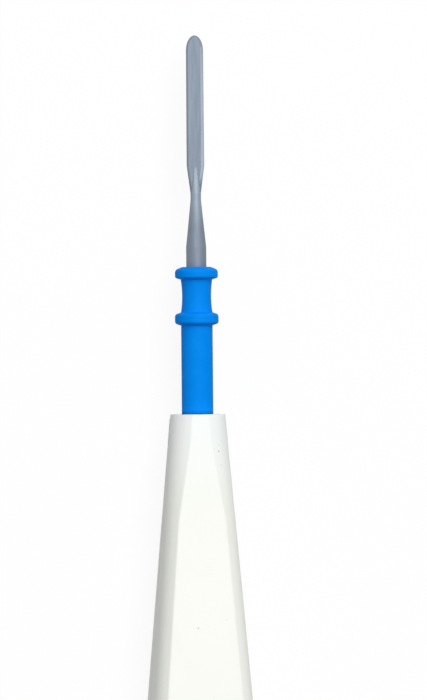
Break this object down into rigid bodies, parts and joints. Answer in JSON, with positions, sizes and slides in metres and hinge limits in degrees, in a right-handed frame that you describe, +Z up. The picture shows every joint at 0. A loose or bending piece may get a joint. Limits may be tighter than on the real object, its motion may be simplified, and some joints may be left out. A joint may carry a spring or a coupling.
{
  "type": "electrosurgical pencil",
  "caption": "Slim faceted handle with press buttons and a blade electrode in a collared insulating sleeve that plugs into its tapered nose.",
  "frame": {"origin": "on the table, under the middle of the pencil as it lies on its underside", "axes": "+Y along the pencil towards the blade tip, +Z up through the buttons, +X to the right seen from the tail"},
  "size_m": [0.0124, 0.1942, 0.0139],
  "materials": {
    "blade_steel": "satin",
    "sleeve_plastic": "satin",
    "housing_plastic": "satin",
    "cut_button_plastic": "satin",
    "coag_button_plastic": "satin",
    "pad_rubber": "matte",
    "dome_steel": "polished",
    "board_laminate": "satin",
    "copper": "satin",
    "socket_brass": "satin"
  },
  "bodies": {
    "handle": {"upper_housing": "housing_plastic", "lower_housing": "housing_plastic", "socket_tube": "socket_brass", "socket_lead": "copper", "switch_board": "board_laminate", "common_track": "copper", "cut_contact": "copper", "coag_contact": "copper", "cut_dome": "dome_steel", "coag_dome": "dome_steel", "button_pad": "pad_rubber", "cut_terminal": "socket_brass", "power_terminal": "socket_brass", "coag_terminal": "socket_brass"},
    "cut_key": {"cut_button": "cut_button_plastic"},
    "coag_key": {"coag_button": "coag_button_plastic"},
    "electrode": {"electrode_blade": "blade_steel", "electrode_sleeve": "sleeve_plastic"}
  },
  "joints": [
    {"name": "electrode_pull", "type": "slide", "parent": "handle", "child": "electrode", "axis": [0, 1, 0], "range_m": [0, 0.027]},
    {"name": "cut_press", "type": "slide", "parent": "handle", "child": "cut_key", "axis": [0, 0, -1], "range_m": [0, 0.0006], "stiffness_N_per_m": 4000, "deforming": ["cut_dome", "button_pad"]},
    {"name": "coag_press", "type": "slide", "parent": "handle", "child": "coag_key", "axis": [0, 0, -1], "range_m": [0, 0.0006], "stiffness_N_per_m": 4000, "deforming": ["coag_dome", "button_pad"]}
  ]
}
